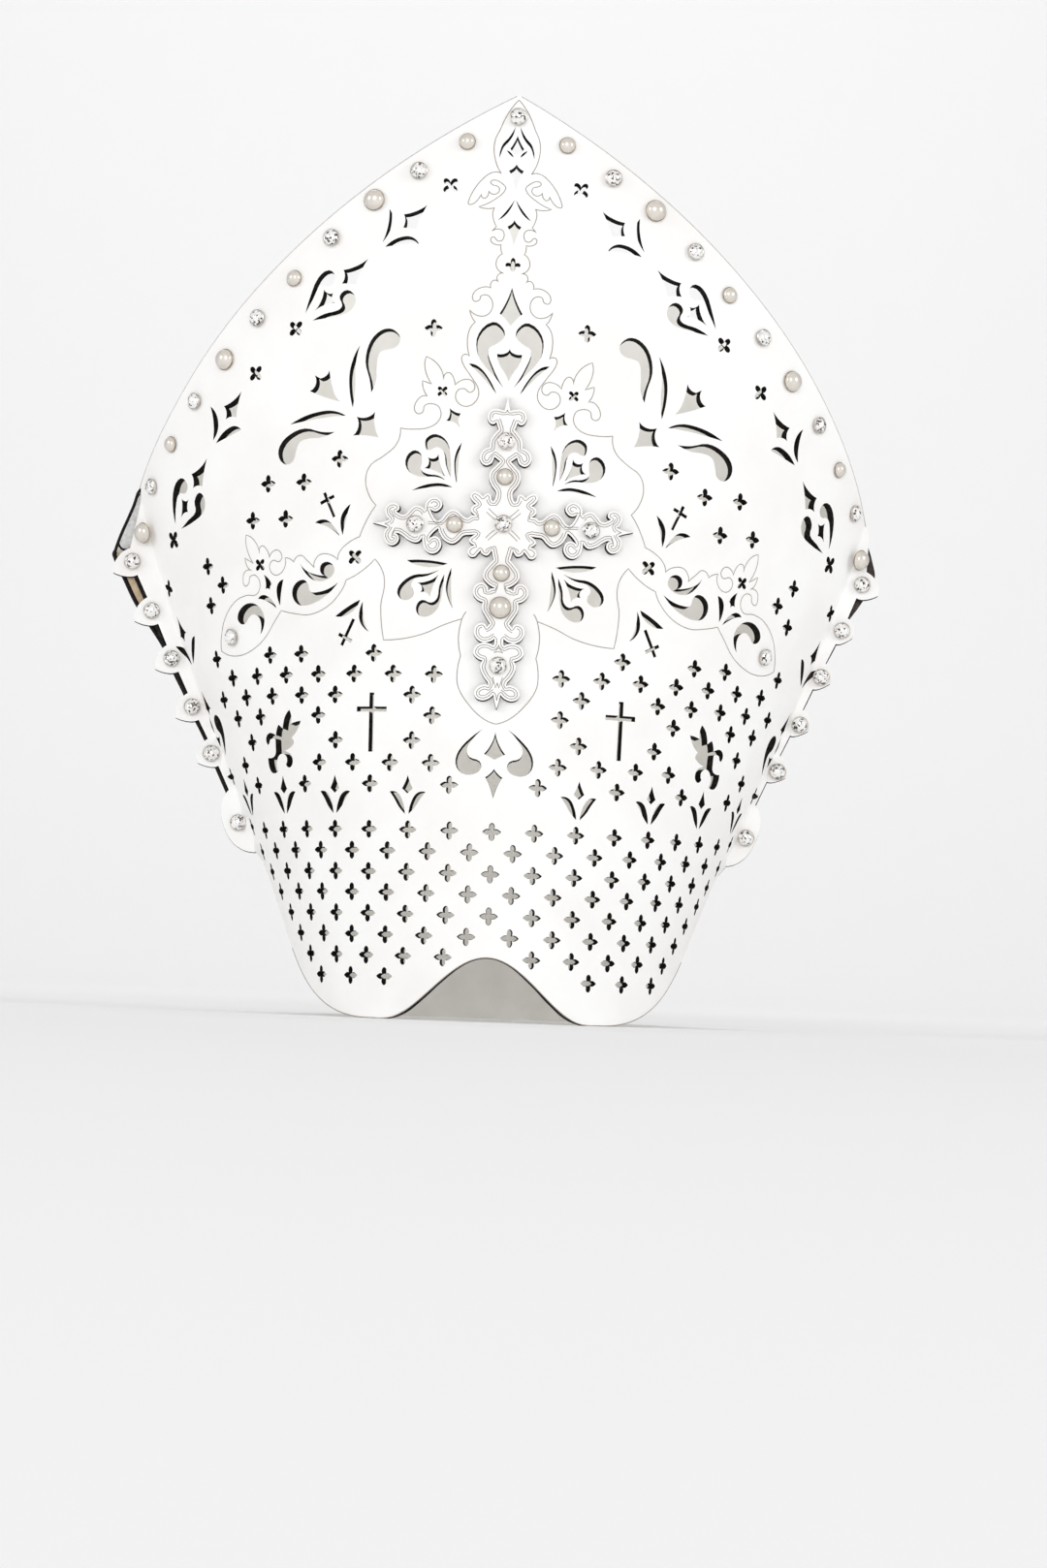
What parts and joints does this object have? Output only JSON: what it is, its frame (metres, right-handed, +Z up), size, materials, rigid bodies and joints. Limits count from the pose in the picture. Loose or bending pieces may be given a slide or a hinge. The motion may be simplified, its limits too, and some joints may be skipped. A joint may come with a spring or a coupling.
{
  "type": "mitre",
  "caption": "Liturgical mitre of stiff white leather: pierced ogival front and plain back panel joined at the sides, with an applied cross, half pearls and crystals.",
  "frame": {"origin": "on the surface that the rim stands on, under the centre of the bounding box", "axes": "+Z up to the two points, the front with the cross and the nose notch faces -Y, +X is to the right as seen from the front"},
  "size_m": [0.3394, 0.1968, 0.3885],
  "materials": {
    "white_leather": "smooth matt white finish, laser-burned black edges, undyed tan flesh side on the seam edges",
    "pearl": "pearlescent half pearl in a thin grey-gold rim",
    "crystal": "faceted clear crystal with a foiled back in a thin rim"
  },
  "bodies": {
    "root": {"front_panel": "white_leather", "back_panel": "white_leather", "applied_cross": "white_leather", "crystal_apex": "crystal", "crystal_cross_top": "crystal", "crystal_cross_centre": "crystal", "crystal_cross_left": "crystal", "crystal_cross_right": "crystal", "crystal_cross_bottom": "crystal", "pearl_cross_top": "pearl", "pearl_cross_left": "pearl", "pearl_cross_right": "pearl", "pearl_cross_lower": "pearl", "pearl_cross_large": "pearl", "small_pearl_edge_left_1": "pearl", "crystal_edge_left_2": "crystal", "large_pearl_edge_left_3": "pearl", "crystal_edge_left_4": "crystal", "small_pearl_edge_left_5": "pearl", "crystal_edge_left_6": "crystal", "large_pearl_edge_left_7": "pearl", "crystal_edge_left_8": "crystal", "small_pearl_edge_left_9": "pearl", "crystal_edge_left_10": "crystal", "large_pearl_edge_left_11": "pearl", "crystal_wing_left": "crystal", "crystal_ear_left_1": "crystal", "crystal_ear_left_2": "crystal", "crystal_ear_left_3": "crystal", "crystal_ear_left_4": "crystal", "crystal_ear_left_5": "crystal", "crystal_ear_left_6": "crystal", "small_pearl_edge_right_1": "pearl", "crystal_edge_right_2": "crystal", "large_pearl_edge_right_3": "pearl", "crystal_edge_right_4": "crystal", "small_pearl_edge_right_5": "pearl", "crystal_edge_right_6": "crystal", "large_pearl_edge_right_7": "pearl", "crystal_edge_right_8": "crystal", "small_pearl_edge_right_9": "pearl", "crystal_edge_right_10": "crystal", "large_pearl_edge_right_11": "pearl", "crystal_wing_right": "crystal", "crystal_ear_right_1": "crystal", "crystal_ear_right_2": "crystal", "crystal_ear_right_3": "crystal", "crystal_ear_right_4": "crystal", "crystal_ear_right_5": "crystal", "crystal_ear_right_6": "crystal"}
  },
  "joints": []
}
